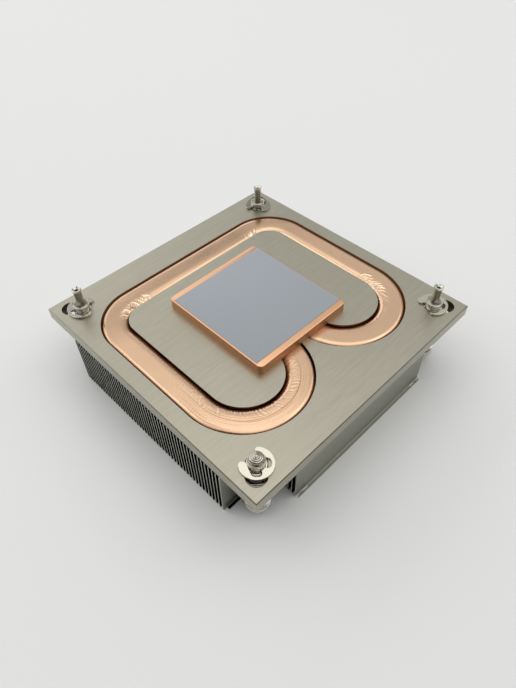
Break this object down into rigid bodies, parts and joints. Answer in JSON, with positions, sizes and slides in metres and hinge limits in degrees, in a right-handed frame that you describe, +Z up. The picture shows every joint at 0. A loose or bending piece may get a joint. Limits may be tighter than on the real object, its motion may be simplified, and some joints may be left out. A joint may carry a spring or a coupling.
{
  "type": "server cpu heat sink",
  "caption": "Low square processor heat sink with folded fins, a looped flat heat pipe under a copper contact plate, and spring screws at its corners.",
  "frame": {"origin": "centre of the fins' resting face", "axes": "+Z up, from the fins to the contact side; +X across the fins; +Y along the fins, with the air"},
  "size_m": [0.09, 0.09, 0.0314],
  "materials": {
    "brushed_plate": "brushed",
    "fin_sheet": "satin",
    "copper": "satin copper",
    "pad": "matte",
    "screw_steel": "plated",
    "clip_steel": "dark plated",
    "spring_steel": "drawn wire"
  },
  "bodies": {
    "root": {"base_plate": "brushed_plate", "heat_pipe": "copper", "contact_plate": "copper", "thermal_pad": "pad", "fins_01_to_04": "fin_sheet", "fins_05_to_08": "fin_sheet", "fins_09_to_12": "fin_sheet", "fins_13_to_16": "fin_sheet", "fins_17_to_20": "fin_sheet", "fins_21_to_24": "fin_sheet", "fins_25_to_28": "fin_sheet", "fins_29_to_32": "fin_sheet", "fins_33_to_36": "fin_sheet", "fins_37_to_40": "fin_sheet", "fins_41_to_44": "fin_sheet", "fins_45_to_48": "fin_sheet", "fins_49_to_52": "fin_sheet", "fins_53_to_56": "fin_sheet", "fins_57_to_60": "fin_sheet", "fins_61_to_64": "fin_sheet"},
    "front_spring": {"spring_front": "spring_steel"},
    "front_clip": {"e_clip_front": "clip_steel"},
    "front_screw": {"screw_front": "screw_steel"},
    "right_spring": {"spring_right": "spring_steel"},
    "right_clip": {"e_clip_right": "clip_steel"},
    "right_screw": {"screw_right": "screw_steel"},
    "back_spring": {"spring_back": "spring_steel"},
    "back_clip": {"e_clip_back": "clip_steel"},
    "back_screw": {"screw_back": "screw_steel"},
    "left_spring": {"spring_left": "spring_steel"},
    "left_clip": {"e_clip_left": "clip_steel"},
    "left_screw": {"screw_left": "screw_steel"}
  },
  "joints": [
    {"name": "front_slot_slide", "type": "slide", "parent": "root", "child": "front_spring", "axis": [0.7071, -0.7071, 0], "range_m": [0, 0.00354]},
    {"name": "front_plunge", "type": "slide", "parent": "front_spring", "child": "front_clip", "axis": [0, 0, 1], "range_m": [0, 0.0045], "stiffness_N_per_m": 2000, "springref_m": -0.004, "deforming": ["spring_front"]},
    {"name": "front_spin", "type": "hinge", "parent": "front_clip", "child": "front_screw", "pos_m": [0.0375, -0.0375, 0.02], "axis": [0, 0, 1], "continuous": true},
    {"name": "right_slot_slide", "type": "slide", "parent": "root", "child": "right_spring", "axis": [0.7071, 0.7071, 0], "range_m": [0, 0.00354]},
    {"name": "right_plunge", "type": "slide", "parent": "right_spring", "child": "right_clip", "axis": [0, 0, 1], "range_m": [0, 0.0045], "stiffness_N_per_m": 2000, "springref_m": -0.004, "deforming": ["spring_right"]},
    {"name": "right_spin", "type": "hinge", "parent": "right_clip", "child": "right_screw", "pos_m": [0.0375, 0.0375, 0.02], "axis": [0, 0, 1], "continuous": true},
    {"name": "back_slot_slide", "type": "slide", "parent": "root", "child": "back_spring", "axis": [-0.7071, 0.7071, 0], "range_m": [0, 0.00354]},
    {"name": "back_plunge", "type": "slide", "parent": "back_spring", "child": "back_clip", "axis": [0, 0, 1], "range_m": [0, 0.0045], "stiffness_N_per_m": 2000, "springref_m": -0.004, "deforming": ["spring_back"]},
    {"name": "back_spin", "type": "hinge", "parent": "back_clip", "child": "back_screw", "pos_m": [-0.0375, 0.0375, 0.02], "axis": [0, 0, 1], "continuous": true},
    {"name": "left_slot_slide", "type": "slide", "parent": "root", "child": "left_spring", "axis": [-0.7071, -0.7071, 0], "range_m": [0, 0.00354]},
    {"name": "left_plunge", "type": "slide", "parent": "left_spring", "child": "left_clip", "axis": [0, 0, 1], "range_m": [0, 0.0045], "stiffness_N_per_m": 2000, "springref_m": -0.004, "deforming": ["spring_left"]},
    {"name": "left_spin", "type": "hinge", "parent": "left_clip", "child": "left_screw", "pos_m": [-0.0375, -0.0375, 0.02], "axis": [0, 0, 1], "continuous": true}
  ]
}
